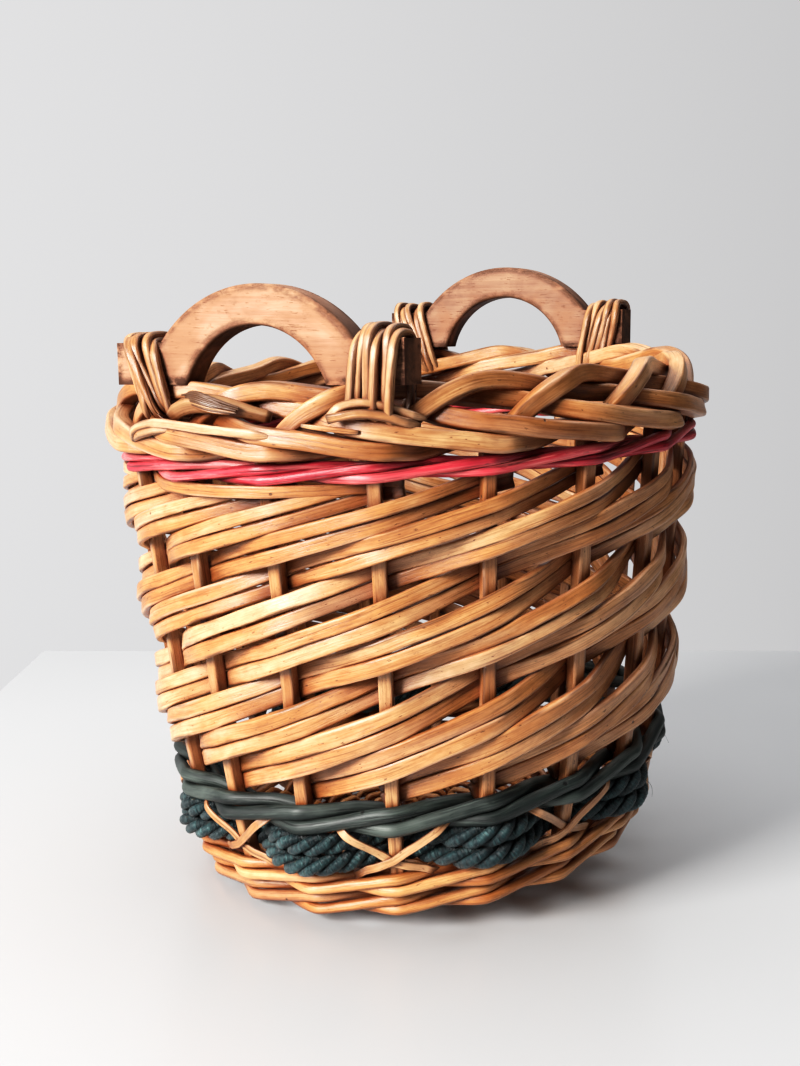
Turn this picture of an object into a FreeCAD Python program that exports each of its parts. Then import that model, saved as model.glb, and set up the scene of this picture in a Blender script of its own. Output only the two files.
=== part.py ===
import FreeCAD, Part
import math
import os
import Sketcher

# Woven fruit basket: a tapered round willow basket with two wooden handles.
#
# Frame: +Z up, origin on the underside of the base, at the middle of the base's cross.
# The two handles stand at -Y and +Y. Angles are counted from -Y towards +X, in degrees.
#
# Every woven rod is first laid out on a straight basket, in cylindrical terms (radius,
# angle, height), and then stands as the handmade basket does: its rings tilt about one
# horizontal line, more at the foot than at the rim, and its base bulges down to the floor.

SIZES = {
    # the wall
    "stake_count": (18, "upright stakes round the wall"),
    "first_stake_angle": (3, "angle of stake_01"),
    "stake_width": (7.2, "side of a square stake"),
    "foot_radius": (117, "wall's middle line where the base ends"),
    "green_radius": (135, "wall's middle line at the green wale"),
    "belly_level": (90, "level of the belly, a little above the green wale"),
    "belly_radius": (140.5, "wall's middle line at the belly"),
    "red_radius": (155, "wall's middle line at the red wale"),
    "fit_gap": (0.3, "space between a rod and what it passes"),
    # the stance
    "foot_lift": (17.5, "middle of the foot ring above the floor"),
    "foot_tilt": (7.7, "slope of the foot ring, in degrees"),
    "rim_tilt": (3.3, "slope of the rim, in degrees"),
    "lean_heading": (52, "direction of the raised side, from +X towards +Y"),
    "lean_shift": (12, "rim's shift towards the low side"),
    "rim_height": (272, "height of the border's top over the foot ring"),
    "base_flat_radius": (36, "radius of the base's flat middle"),
    # the base
    "spoke_width": (6.0, "side of a base stick"),
    "base_level": (7.2, "middle of the sticks over the floor"),
    "base_rod": (3.5, "diameter of a base weaver"),
    "base_rounds": (16, "rounds of base weave"),
    "base_weave_start": (42, "radius of the first round"),
    "base_weave_pitch": (4.1, "distance between rounds"),
    # the foot, the rope band and the green wale
    "foot_rod": (5.8, "diameter of a foot wale rod"),
    "foot_first_level": (7.2, "middle of the lower foot wale"),
    "foot_second_level": (20.4, "middle of the upper foot wale"),
    "rope_level": (38.6, "middle of the rope band"),
    "rope_height": (21.5, "rope's height"),
    "rope_depth": (13.0, "rope's thickness"),
    "tie_width": (4.4, "width of a cane tie"),
    "tie_thickness": (1.3, "thickness of a cane tie"),
    "green_level": (57.0, "middle of the green wale"),
    "green_rod": (7.4, "diameter of a green rod"),
    "wale_spread": (0.55, "half the rise of a wale's rod, as a share of its diameter"),
    # the randing between the two coloured wales
    "weave_start_level": (71, "level of a pair's thick ends"),
    "weave_rise": (18.3, "rise of a pair from stake to stake"),
    "weave_settling": (0.79, "loss of rise towards the thin ends"),
    "weave_steps": (9, "stakes that a pair climbs past"),
    "weaver_butt_height": (8.9, "height of a weaver at its thick end"),
    "weaver_tip_height": (6.4, "height of a weaver at its thin end"),
    "weaver_thickness": (4.4, "thickness of a weaver"),
    "weaver_bow": (3.0, "how far a weaver bows out between two stakes"),
    # the red wale and the border
    "red_level": (232, "middle of the red wale"),
    "red_rod": (5.0, "diameter of a red rod"),
    "border_level": (238, "level where the stakes bend into the border"),
    "border_width": (9.0, "side of a stake in the border"),
    # the handles
    "handle_length": (166, "overall length of a handle"),
    "handle_thickness": (16, "thickness of the plank"),
    "front_height": (48, "height of the front arch"),
    "back_height": (51.5, "height of the back arch"),
    "front_tongue_height": (21, "height of the front handle's end tongues"),
    "back_tongue_height": (23, "height of the back handle's end tongues"),
    "arch_radius": (72, "radius of the arch's back"),
    "grip_radius": (42.5, "radius of the hand opening"),
    "front_grip_rise": (28.3, "height of the front hand opening"),
    "back_grip_rise": (32, "height of the back hand opening"),
    "handle_edge": (2.5, "rounding of the grip's edges"),
    "handle_offset": (142, "handle's middle plane from the basket's axis"),
    "front_level": (273.1, "underside of the front tongues over the foot ring"),
    "back_level": (274, "underside of the back tongues over the foot ring"),
    "front_slope": (1.2, "rise of the front handle towards +X, in degrees"),
    "back_slope": (0.6, "rise of the back handle towards +X, in degrees"),
    "lash_wraps": (6, "turns of cane in a lashing"),
    "lash_rod": (4.1, "diameter of the lashing cane"),
    "lash_pitch": (4.4, "distance between turns"),
    "lash_place": (67, "middle of a lashing from the handle's middle"),
    "lash_depth": (16.5, "reach of a lashing below the tongue"),
}

doc = FreeCAD.newDocument("fruit_basket")
sheet = doc.addObject("Spreadsheet::Sheet", "sizes")
for row, (alias, (value, note)) in enumerate(SIZES.items(), start=1):
    sheet.set(f"A{row}", note)
    sheet.set(f"B{row}", str(value))
    sheet.setAlias(f"B{row}", alias)
doc.recompute()


def size(alias):
    return float(sheet.get(alias))


STAKES = int(size("stake_count"))
STEP = 360 / STAKES
HALF_STAKE = size("stake_width") / 2
BORDER = size("border_level")


# --- the basket's shape ---------------------------------------------------------------


def glide(knots, x):
    """Smooth steps between (x, value) knots, level at every knot."""
    x = min(max(x, knots[0][0]), knots[-1][0])
    for (start, low), (end, high) in zip(knots, knots[1:]):
        if x <= end:
            share = (x - start) / (end - start)
            return low + (high - low) * (0.5 - 0.5 * math.cos(math.pi * share))
    return knots[-1][1]


def straight(knots, x):
    """Straight runs between (x, value) knots."""
    x = min(max(x, knots[0][0]), knots[-1][0])
    for (start, low), (end, high) in zip(knots, knots[1:]):
        if x <= end:
            return low + (high - low) * (x - start) / (end - start)
    return knots[-1][1]


WALL_KNOTS = [
    (0, size("foot_radius")),
    (size("foot_first_level"), size("foot_radius") + 4),
    (size("foot_second_level"), size("foot_radius") + 10),
    (size("green_level"), size("green_radius")),
    (size("belly_level"), size("belly_radius")),
    (size("red_level"), size("red_radius")),
    (size("rim_height"), size("red_radius") + 1),
]


def wall_radius(height):
    """Radius of the stakes' middle line."""
    return straight(WALL_KNOTS, height)


def on_ring(radius, angle, height):
    """A point of the straight basket."""
    turn = math.radians(angle)
    return FreeCAD.Vector(radius * math.sin(turn), -radius * math.cos(turn), height)


def tilt(height):
    """Slope of the ring at a height: the foot slopes more than the rim."""
    share = min(max(1 - height / size("rim_height"), 0), 1)
    slope = size("rim_tilt") + (size("foot_tilt") - size("rim_tilt")) * share**2
    return math.tan(math.radians(slope))


def stand(point):
    """Move a point of the straight basket to where it is on the leaning one."""
    heading = math.radians(size("lean_heading"))
    east, north = math.cos(heading), math.sin(heading)
    radius = math.hypot(point.x, point.y)
    flat = size("base_flat_radius")
    bowl = min(max((radius - flat) / (size("foot_radius") - 2 - flat), 0), 1) ** 2
    lift = size("foot_lift") + (point.x * east + point.y * north) * tilt(point.z)
    shift = -size("lean_shift") * max(point.z, 0) / size("rim_height")
    return FreeCAD.Vector(
        point.x + east * shift, point.y + north * shift, point.z + bowl * lift
    )


# --- rods -----------------------------------------------------------------------------


def box_section(width, depth):
    """Corners of a rectangular section."""
    w, d = width / 2, depth / 2
    return [(w, -d), (w, d), (-w, d), (-w, -d)]


def round_section(width, depth, sides=6):
    """Corners of a round or oval section, drawn with this many flats."""
    turns = [2 * math.pi * (side + 0.5) / sides for side in range(sides)]
    return [(width / 2 * math.cos(a), depth / 2 * math.sin(a)) for a in turns]


def rod(route, stations, section, upright_until=None):
    """Solid along route(station) of the straight basket, stood on the leaning one.

    section(station) gives corners (across, out). Out points away from the basket's axis;
    before the station upright_until the rod runs in an upright plane, and out is down
    where it runs along the base.
    """
    wires = []
    nudge = 0.01
    for station in stations:
        place = route(station)
        centre = stand(place)
        ahead = (stand(route(station + nudge)) - stand(route(station - nudge))).normalize()
        outward = FreeCAD.Vector(place.x, place.y, 0).normalize()
        if upright_until is not None and station < upright_until:
            sideways = FreeCAD.Vector(0, 0, 1).cross(outward)
            out = sideways.cross(ahead).normalize()
        else:
            out = (outward - ahead * outward.dot(ahead)).normalize()
        across = ahead.cross(out)
        corners = [centre + across * a + out * b for a, b in section(station)]
        wires.append(Part.makePolygon(corners + corners[:1]))
    return Part.makeLoft(wires, True, True)


def span(first, last, pitch):
    """Evenly spaced stations from first to last."""
    count = max(2, round((last - first) / pitch))
    return [first + (last - first) * i / count for i in range(count + 1)]


def through(points, station):
    """Catmull-Rom curve through points, one unit of station per point."""
    last = len(points) - 1
    index = min(max(int(math.floor(station)), 0), last - 1)
    t = station - index
    before = points[max(index - 1, 0)]
    start, end = points[index], points[index + 1]
    after = points[min(index + 2, last)]
    return tuple(
        0.5 * (2 * s + (e - b) * t + (2 * b - 5 * s + 4 * e - a) * t**2
               + (3 * s - b - 3 * e + a) * t**3)
        for b, s, e, a in zip(before, start, end, after)
    )


def publish(label, solids):
    """Make one sub-part from its solids."""
    node = doc.addObject("Part::Feature", label)
    node.Label = label
    node.Shape = solids[0] if len(solids) == 1 else Part.makeCompound(solids)
    node.Placement = FreeCAD.Placement()
    return node


# --- base -----------------------------------------------------------------------------

SPOKE_SIDE = 4.6  # degrees from a stake to the spoke beside it
SLATH = 30  # radius of the square cross in the middle of the base


def base_sticks():
    """Nine sticks crossed five under four, whose ends fan out to the spokes."""
    width = size("spoke_width")
    level = size("base_level")
    reach = size("foot_radius") - 4
    first = size("first_stake_angle") - SPOKE_SIDE
    sticks = []
    for group, members, middle in (("under", 5, 0), ("over", 4, 90)):
        for member in range(members):
            place = member - (members - 1) / 2
            heading = first + middle
            offset = place * (width + 0.4)
            cross_level = width / 2 if group == "under" else 1.5 * width + 0.2

            def route(station, place=place, heading=heading, offset=offset, low=cross_level):
                side = 1 if station >= 0 else -1
                along = abs(station)
                near = on_ring(along * side, heading, 0)
                near = near + on_ring(offset, heading + 90, 0)
                angle = heading + side * place * STEP + (0 if side > 0 else 180)
                far = on_ring(along, angle, 0)
                share = glide([(SLATH - 14, 0), (SLATH + 16, 1)], along)
                point = near * (1 - share) + far * share
                point.z = glide([(SLATH - 12, low), (SLATH + 12, level)], along)
                return point

            def section(station):
                return box_section(width, width)

            sticks.append(stick_solid(route, section, reach))
    return publish("base_sticks", sticks)


def stick_solid(route, section, reach):
    """A base stick, with its section kept upright."""
    wires = []
    for station in span(-reach, reach, 6):
        centre = stand(route(station))
        ahead = route(station + 0.5) - route(station - 0.5)
        ahead = FreeCAD.Vector(ahead.x, ahead.y, 0).normalize()
        up = FreeCAD.Vector(0, 0, 1)
        across = ahead.cross(up)
        corners = [centre + across * a + up * b for a, b in section(station)]
        wires.append(Part.makePolygon(corners + corners[:1]))
    return Part.makeLoft(wires, True, True)


def base_weave():
    """Rounds of fine rod, over one spoke and under the next."""
    thick = size("base_rod")
    level = size("base_level")
    swing = (size("spoke_width") + thick) / 2 + size("fit_gap") / 2
    first = size("first_stake_angle") - SPOKE_SIDE / 2
    rounds = []
    for turn in range(int(size("base_rounds"))):
        radius = size("base_weave_start") + turn * size("base_weave_pitch")
        sign = 1 if turn % 2 else -1

        def route(station, radius=radius, sign=sign):
            wave = glide([(0.2, 1), (0.8, -1), (1.2, -1), (1.8, 1)], station % 2)
            return on_ring(radius, first + station * STEP, level + sign * swing * wave)

        def section(station):
            return round_section(thick, thick, 5)

        start = 0.05 + 2 * (turn % 3)
        stations = span(start, start + STAKES - 0.1, 0.25)
        rounds.append(rod(route, stations, section))
    return publish("base_weave", rounds)


# --- stakes ---------------------------------------------------------------------------

# (stakes passed, height over the border's level, distance outside the wall)
BORDER_ROUTE = [
    (0.0, 0, 0),
    (0.15, 9, 1.5),
    (0.4, 20.5, 3),
    (0.7, 29, 1),
    (1.0, 32.5, -5),
    (1.4, 29.5, -9.5),
    (2.0, 24.5, -9.5),
    (2.35, 22, -7),
    (2.65, 18, 1.5),
    (3.0, 13.8, 9),
    (3.5, 9.2, 10),
    (4.0, 4.8, 9.5),
    (4.2, 4, 7),
    (4.45, 3.2, -3),
]


def stake(index):
    """One stake: its tail in the base, its upright and its turn into the border."""
    angle = size("first_stake_angle") + index * STEP
    level = size("base_level")
    foot = size("foot_radius")
    points = [(radius, 0, level) for radius in (84, 91, 98, 105)]
    points += [(foot - 4.5, 0, level + 1.2), (foot + 0.5, 0, level + 5)]
    first_upright = len(points)
    rise = [16, 24, 34, 46, 57, 70, 100, 130, 160, 190, 215, size("red_level")]
    points += [(wall_radius(height), 0, height) for height in rise]
    for passed, up, out in BORDER_ROUTE:
        points.append((wall_radius(BORDER + up) + out, passed * STEP, BORDER + up))
    last = len(points) - 1

    def route(station):
        radius, turn, height = through(points, station)
        return on_ring(radius, angle + turn, height)

    def section(station):
        tail = min(1, 0.45 + station / 4)
        tip = min(1, 0.8 + (last - station) / 3)
        widened = glide([(last - len(BORDER_ROUTE), 0), (last - len(BORDER_ROUTE) + 4, 1)], station)
        side = size("stake_width") * (1 - widened) + size("border_width") * widened
        return box_section(side * tail * tip, side * tail * tip)

    stations = span(0, first_upright, 0.5)[:-1] + span(first_upright, last, 0.5)
    solid = rod(route, stations, section, upright_until=first_upright + 2)
    return publish(f"stake_{index + 1:02d}", [solid])


# --- wales ----------------------------------------------------------------------------


def wale(label, level, thick, first_stake):
    """Three rods that each pass in front of two stakes and behind one, once round."""
    drop = thick * size("wale_spread")
    reach = HALF_STAKE + thick / 2 + size("fit_gap")
    sideways = [(0, -reach), (0.75, reach), (2.25, reach), (3, -reach)]
    heights = [(0, 0), (0.35, -drop), (1, -drop), (2, drop), (2.65, drop), (3, 0)]
    rods = []
    for strand in range(3):
        angle = size("first_stake_angle") + (first_stake + strand) * STEP

        def route(station, angle=angle):
            phase = station % 3
            height = level + glide(heights, phase)
            radius = wall_radius(level) + glide(sideways, phase)
            return on_ring(radius, angle + station * STEP, height)

        def section(station):
            return round_section(thick, thick)

        stations = span(0.06, STAKES - 0.06, 0.25)
        rods.append(rod(route, stations, section))
    return publish(label, rods)


def rope_band():
    """The rope: behind one stake, in front of the next, all the way round."""
    depth = size("rope_depth")
    reach = HALF_STAKE + depth / 2 + size("fit_gap")
    level = size("rope_level")
    angle = size("first_stake_angle") + STEP

    def route(station):
        swing = -reach * math.cos(math.pi * station)
        return on_ring(wall_radius(level) + swing, angle + station * STEP, level)

    def section(station):
        return round_section(size("rope_height"), depth, 10)

    stations = span(0.06, STAKES - 0.06, 0.25)
    return publish("rope_band", [rod(route, stations, section)])


def cane_ties():
    """Crossed flat canes over each stake that the rope passes behind."""
    top = size("green_level") - 7
    bottom = size("foot_second_level") + 6
    thin = size("tie_thickness")
    straps = []
    for index in range(1, STAKES, 2):
        angle = size("first_stake_angle") + index * STEP
        for side, layer in ((1, 0), (-1, 1)):
            near = HALF_STAKE + thin / 2 + size("fit_gap") + layer * (thin + 0.2)
            outs = [(-0.48, 8.6), (-0.12, near), (0.12, near), (0.34, 7.5)]
            rises = [(-0.48, top), (0, bottom + 9), (0.34, bottom)]

            def route(station, angle=angle, side=side, outs=outs, rises=rises):
                height = straight(rises, station)
                radius = wall_radius(height) + glide(outs, station)
                return on_ring(radius, angle + side * station * STEP, height)

            def section(station):
                return box_section(size("tie_width"), thin)

            straps.append(rod(route, span(-0.48, 0.34, 0.07), section))
    return publish("cane_ties", straps)


# --- randing --------------------------------------------------------------------------


def weaver_pair(index):
    """Two flat rods that climb together: behind one stake, in front of the next two."""
    angle = size("first_stake_angle") + index * STEP
    thin = size("weaver_thickness")
    reach = HALF_STAKE + thin / 2 + size("fit_gap")
    sideways = [(0, -reach), (0.8, reach), (2.2, reach), (3, -reach)]
    steps = size("weave_steps")

    def level(station):
        settled = size("weave_settling") * max(0, station - 5) ** 2
        return size("weave_start_level") + size("weave_rise") * station - settled

    def side(station):
        share = min(max(station / steps, 0), 1)
        butt, tip = size("weaver_butt_height"), size("weaver_tip_height")
        return butt + (tip - butt) * share**2

    rods = []
    for sign in (-1, 1):

        def route(station, sign=sign):
            height = level(station) + sign * side(station) / 2 * 1.03
            bow = size("weaver_bow") * math.sin(math.pi * station / 3) ** 2
            radius = wall_radius(height) + glide(sideways, station % 3) + bow
            return on_ring(radius, angle + station * STEP, height)

        def section(station):
            return box_section(side(station), thin)

        rods.append(rod(route, span(-0.28, steps + 0.25, 0.2), section))
    return publish(f"weaver_pair_{index + 1:02d}", rods)


# --- handles --------------------------------------------------------------------------


def handle_placement(side, angle):
    """Where a handle stands on the border; its own X runs along it and Y out."""
    foot = on_ring(size("handle_offset"), angle, size(f"{side}_level"))
    along = on_ring(1, angle + 90, 0)
    along.z = along.x * math.tan(math.radians(size(f"{side}_slope")))
    along.normalize()
    out = on_ring(1, angle, 0)
    up = out.cross(along).normalize()
    turn = FreeCAD.Rotation(along, up.cross(along), up, "ZXY")
    return FreeCAD.Placement(stand(foot), turn)


def bound_sketch(body, name, draw):
    """A sketch on the body's XZ plane; draw adds its geometry and bound constraints."""
    sketch = body.newObject("Sketcher::SketchObject", name)
    plane = next(f for f in body.Origin.OriginFeatures if f.Role == "XZ_Plane")
    sketch.AttachmentSupport = [(plane, "")]
    sketch.MapMode = "FlatFace"
    draw(sketch)
    return sketch


def bind(sketch, constraint, name, expression):
    """Add a constraint whose value comes from the sheet."""
    number = sketch.addConstraint(constraint)
    sketch.renameConstraint(number, name)
    sketch.setExpression(f"Constraints.{name}", expression)


def draw_block(length, height, low):
    """A drawing of a rectangle centred on the sketch's upright axis; length is an alias."""

    def draw(sketch):
        half, bottom, top = size(length) / 2, low, low + height
        corners = [(-half, bottom), (half, bottom), (half, top), (-half, top)]
        places = [FreeCAD.Vector(x, y, 0) for x, y in corners]
        for start, end in zip(places, places[1:] + places[:1]):
            sketch.addGeometry(Part.LineSegment(start, end))
        for side in range(4):
            sketch.addConstraint(
                Sketcher.Constraint("Coincident", side, 2, (side + 1) % 4, 1)
            )
        for side, kind in enumerate(("Horizontal", "Vertical") * 2):
            sketch.addConstraint(Sketcher.Constraint(kind, side))
        wide = Sketcher.Constraint("DistanceX", 0, 1, 0, 2, 2 * half)
        bind(sketch, wide, "wide", f"sizes.{length}")
        left = Sketcher.Constraint("DistanceX", 0, 1, -1, 1, half)
        bind(sketch, left, "left", f"sizes.{length} / 2")

    return draw


def draw_tongues(height):
    """A drawing of both tongues in one, height being an alias."""

    def draw(sketch):
        draw_block("handle_length", size(height), 0)(sketch)
        sketch.addConstraint(Sketcher.Constraint("PointOnObject", 0, 1, -1))
        tall = Sketcher.Constraint("DistanceY", 1, 1, 1, 2, size(height))
        bind(sketch, tall, "tall", f"sizes.{height}")

    return draw


def draw_circle(radius, top):
    """A drawing of a circle on the sketch's upright axis; radius and top are aliases."""

    def draw(sketch):
        centre_height = size(top) - size(radius)
        centre = FreeCAD.Vector(0, centre_height, 0)
        up = FreeCAD.Vector(0, 0, 1)
        sketch.addGeometry(Part.Circle(centre, up, size(radius)))
        sketch.addConstraint(Sketcher.Constraint("PointOnObject", 0, 3, -2))
        bind(sketch, Sketcher.Constraint("Radius", 0, size(radius)), "radius", f"sizes.{radius}")
        low = Sketcher.Constraint("DistanceY", 0, 3, -1, 1, -centre_height)
        bind(sketch, low, "low", f"sizes.{radius} - sizes.{top}")

    return draw


def draw_trim(sketch):
    """Everything under the tongues' underside."""
    depth = 2 * size("arch_radius")
    draw_block("handle_length", depth, -depth)(sketch)
    sketch.addConstraint(Sketcher.Constraint("PointOnObject", 2, 1, -1))
    deep = Sketcher.Constraint("DistanceY", 1, 1, 1, 2, depth)
    bind(sketch, deep, "deep", "2 * sizes.arch_radius")


def extrude(body, kind, name, sketch):
    """A pad or pocket, symmetric about the handle's middle plane."""
    feature = body.newObject(kind, name)
    feature.Profile = sketch
    feature.Midplane = True
    feature.setExpression("Length", "sizes.handle_thickness")
    body.Tip = feature
    return feature


def handle(side, angle):
    """A sawn plank: an arch over the hand opening, with a tongue at each end."""
    label = f"handle_{side}"
    body = doc.addObject("PartDesign::Body", label)
    body.Label = label
    tongues = bound_sketch(body, label + "_tongue_lines", draw_tongues(f"{side}_tongue_height"))
    extrude(body, "PartDesign::Pad", label + "_tongues", tongues)
    back = bound_sketch(body, label + "_back", draw_circle("arch_radius", f"{side}_height"))
    extrude(body, "PartDesign::Pad", label + "_arch", back)
    trim = bound_sketch(body, label + "_trim_lines", draw_trim)
    extrude(body, "PartDesign::Pocket", label + "_trim", trim)
    grip = bound_sketch(body, label + "_grip", draw_circle("grip_radius", f"{side}_grip_rise"))
    cut = extrude(body, "PartDesign::Pocket", label + "_opening", grip)
    doc.recompute()
    rounded = [
        f"Edge{number}"
        for number, edge in enumerate(cut.Shape.Edges, start=1)
        if isinstance(edge.Curve, Part.Circle)
    ]
    easing = body.newObject("PartDesign::Fillet", label + "_easing")
    easing.Base = (cut, rounded)
    easing.setExpression("Radius", "sizes.handle_edge")
    body.Tip = easing
    body.Placement = handle_placement(side, angle)
    return body


# --- handle lashings ------------------------------------------------------------------


def lashing(side, hand, angle, end):
    """Turns of cane round a tongue and the top of the border under it."""
    thick = size("lash_rod")
    gap = thick / 2 + size("fit_gap")
    half_wide = size("handle_thickness") / 2 + gap
    top = size(f"{side}_tongue_height") + gap
    bottom = -size("lash_depth")
    corner = 5.0
    turns = []
    for wrap in range(int(size("lash_wraps"))):
        along = end * size("lash_place")
        along += (wrap - (size("lash_wraps") - 1) / 2) * size("lash_pitch")
        corners = [
            FreeCAD.Vector(along, y, z)
            for y, z in (
                (-half_wide, bottom), (half_wide, bottom), (half_wide, top), (-half_wide, top)
            )
        ]
        path = rounded_loop(Part.makePolygon(corners + corners[:1]).Edges, corner)
        start = path.Edges[0].valueAt(path.Edges[0].FirstParameter)
        circle = Part.Circle(start, FreeCAD.Vector(0, 1, 0), thick / 2)
        ring = Part.Wire([circle.toShape()])
        turns.append(path.makePipeShell([ring], True, True))
    node = publish(f"lashing_{side}_{hand}", turns)
    node.Placement = handle_placement(side, angle)
    return node


def rounded_loop(edges, corner):
    """A closed rectangle of edges with its corners turned into arcs."""
    pieces = []
    count = len(edges)
    for number, edge in enumerate(edges):
        following = edges[(number + 1) % count]
        start, end = edge.valueAt(edge.FirstParameter), edge.valueAt(edge.LastParameter)
        ahead = (end - start).normalize()
        far = following.valueAt(following.LastParameter)
        turn = (far - end).normalize()
        arc_start = end - ahead * corner
        arc_end = end + turn * corner
        middle = end + (turn - ahead) * corner * (1 - math.sqrt(0.5))
        pieces.append(Part.LineSegment(start + ahead * corner, arc_start).toShape())
        pieces.append(Part.Arc(arc_start, middle, arc_end).toShape())
    return Part.Wire(pieces)


# --- assembly -------------------------------------------------------------------------

nodes = [base_sticks(), base_weave()]
nodes += [stake(index) for index in range(STAKES)]
nodes.append(wale("foot_wale_lower", size("foot_first_level"), size("foot_rod"), 0))
nodes.append(wale("foot_wale_upper", size("foot_second_level"), size("foot_rod"), 1))
nodes.append(rope_band())
nodes.append(cane_ties())
nodes.append(wale("green_wale", size("green_level"), size("green_rod"), 0))
nodes += [weaver_pair(index) for index in range(STAKES)]
nodes.append(wale("red_wale", size("red_level"), size("red_rod"), 0))
for side, angle in (("front", 0), ("back", 180)):
    nodes.append(handle(side, angle))
    for hand, end in (("left", -1), ("right", 1)):
        nodes.append(lashing(side, hand, angle, end))
doc.recompute()

# --- checks and files -----------------------------------------------------------------

for item in doc.Objects:
    if "Invalid" in item.State or "Error" in item.State:
        raise RuntimeError(f"{item.Label} failed to build")
for node in nodes:
    if node.Shape.isNull() or not node.Shape.isValid():
        raise RuntimeError(f"{node.Label} has no valid shape")

os.makedirs("parts", exist_ok=True)
for node in nodes:
    node.Shape.exportStep(f"parts/{node.Label}.step")
    volume = sum(solid.Volume for solid in node.Shape.Solids)
    print(f"{node.Label}: {len(node.Shape.Solids)} solids, {volume / 1000:.1f} cm3")
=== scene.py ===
import math

import bpy
import numpy as np
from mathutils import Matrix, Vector


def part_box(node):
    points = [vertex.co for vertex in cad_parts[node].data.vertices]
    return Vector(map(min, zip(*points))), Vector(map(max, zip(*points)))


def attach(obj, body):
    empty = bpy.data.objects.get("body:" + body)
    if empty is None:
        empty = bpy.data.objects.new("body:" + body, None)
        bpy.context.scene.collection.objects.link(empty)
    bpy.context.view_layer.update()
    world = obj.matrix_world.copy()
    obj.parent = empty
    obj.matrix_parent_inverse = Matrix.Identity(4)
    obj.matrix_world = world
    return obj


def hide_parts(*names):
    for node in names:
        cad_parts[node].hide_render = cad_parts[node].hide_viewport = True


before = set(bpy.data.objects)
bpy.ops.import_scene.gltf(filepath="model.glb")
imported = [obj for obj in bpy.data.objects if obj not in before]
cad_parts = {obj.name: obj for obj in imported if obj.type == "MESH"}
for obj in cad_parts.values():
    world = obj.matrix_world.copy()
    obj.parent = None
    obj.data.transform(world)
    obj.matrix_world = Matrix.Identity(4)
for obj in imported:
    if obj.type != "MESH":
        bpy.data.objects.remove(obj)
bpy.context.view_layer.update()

# Looks of a woven fruit basket. Lengths are in millimetres until a mesh or a place in the
# scene is made. The materials and the lamps' sizes use metres.
# Angles are counted from -Y towards +X, in degrees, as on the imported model.

MM = 0.001
NODES = sorted(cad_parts)
RNG = np.random.default_rng(18)

# Rod sizes
STAKE = 7.2
BORDER_STAKE = 9.0
WEAVER_THICK = 4.4
WEAVER_BUTT = 8.9
WEAVER_TIP = 6.4
WEAVER_BOW = 3.0
FOOT_ROD = 5.8
GREEN_ROD = 7.4
RED_ROD = 5.0
BASE_ROD = 3.5
SPOKE = 6.0
ROPE_TALL = 21.5
ROPE_DEEP = 13.0
LASH_ROD = 4.1
GAP = 0.3
DROP = 0.55  # how far a wale's rod goes up and down, as a share of its thickness

STAKES = sum(name.startswith("stake_") for name in NODES)
STEP = 360 / STAKES


# --- the basket's shape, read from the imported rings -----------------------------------


def ring(node, rod):
    """Middle, height and slope of a packed wale, and the radius of the stakes inside it."""
    low, high = (np.array(corner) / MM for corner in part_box(node))
    middle = (low + high) / 2
    radius = (high - low)[:2].mean() / 2
    band = rod * (1 + 2 * DROP)
    slope = (high[2] - low[2] - band) / (2 * radius)
    wall = radius - STAKE / 2 - GAP - rod
    return {"middle": middle[:2], "wall": wall, "height": middle[2], "slope": slope}


FOOT_RING = ring("foot_wale_lower", FOOT_ROD)
UPPER_FOOT = ring("foot_wale_upper", FOOT_ROD)
GREEN_RING = ring("green_wale", GREEN_ROD)
RED_RING = ring("red_wale", RED_ROD)

FOOT_LEVEL = 7.2  # middle of the lower foot wale, over the wall's foot
FOOT_LIFT = FOOT_RING["height"] - FOOT_LEVEL
UPPER_LEVEL = UPPER_FOOT["height"] - FOOT_LIFT
GREEN_LEVEL = GREEN_RING["height"] - FOOT_LIFT
RED_LEVEL = RED_RING["height"] - FOOT_LIFT
BORDER_LEVEL = RED_LEVEL + 6  # where the stakes bend over
RIM_HEIGHT = RED_LEVEL + 40
ROPE_LEVEL = (UPPER_LEVEL + GREEN_LEVEL) / 2

LEAN = FOOT_RING["middle"] - RED_RING["middle"]
LEAN_WAY = LEAN / np.linalg.norm(LEAN)
LEAN_SHIFT = np.linalg.norm(LEAN) / (RED_LEVEL - FOOT_LEVEL)  # shift per unit of height


def slope_share(height):
    """1 at the foot and 0 at the rim: how much of the foot's extra slope a height has."""
    return np.clip(1 - height / RIM_HEIGHT, 0, 1) ** 2


EXTRA_SLOPE = (FOOT_RING["slope"] - RED_RING["slope"]) / (
    slope_share(FOOT_LEVEL) - slope_share(RED_LEVEL)
)
RIM_SLOPE = RED_RING["slope"] - EXTRA_SLOPE * slope_share(RED_LEVEL)
FIRST_ANGLE = 3.0  # stake_01
FOOT_RADIUS = FOOT_RING["wall"] - 4
BASE_FLAT = 36.0  # radius of the middle of the base, which is flat
BASE_LEVEL = 7.2
BELLY_LEVEL = 90.0
BELLY = 5.5  # how much the wall's radius grows from the green wale to the belly

WALL_LEVELS = [0, FOOT_LEVEL, UPPER_LEVEL, GREEN_LEVEL, BELLY_LEVEL, RED_LEVEL, RIM_HEIGHT]
WALL_RADII = [
    FOOT_RADIUS,
    FOOT_RING["wall"],
    UPPER_FOOT["wall"],
    GREEN_RING["wall"],
    GREEN_RING["wall"] + BELLY,
    RED_RING["wall"],
    RED_RING["wall"] + 1,
]


def wall_radius(height):
    """Radius of the ring of stakes' middles."""
    return np.interp(height, WALL_LEVELS, WALL_RADII)


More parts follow.
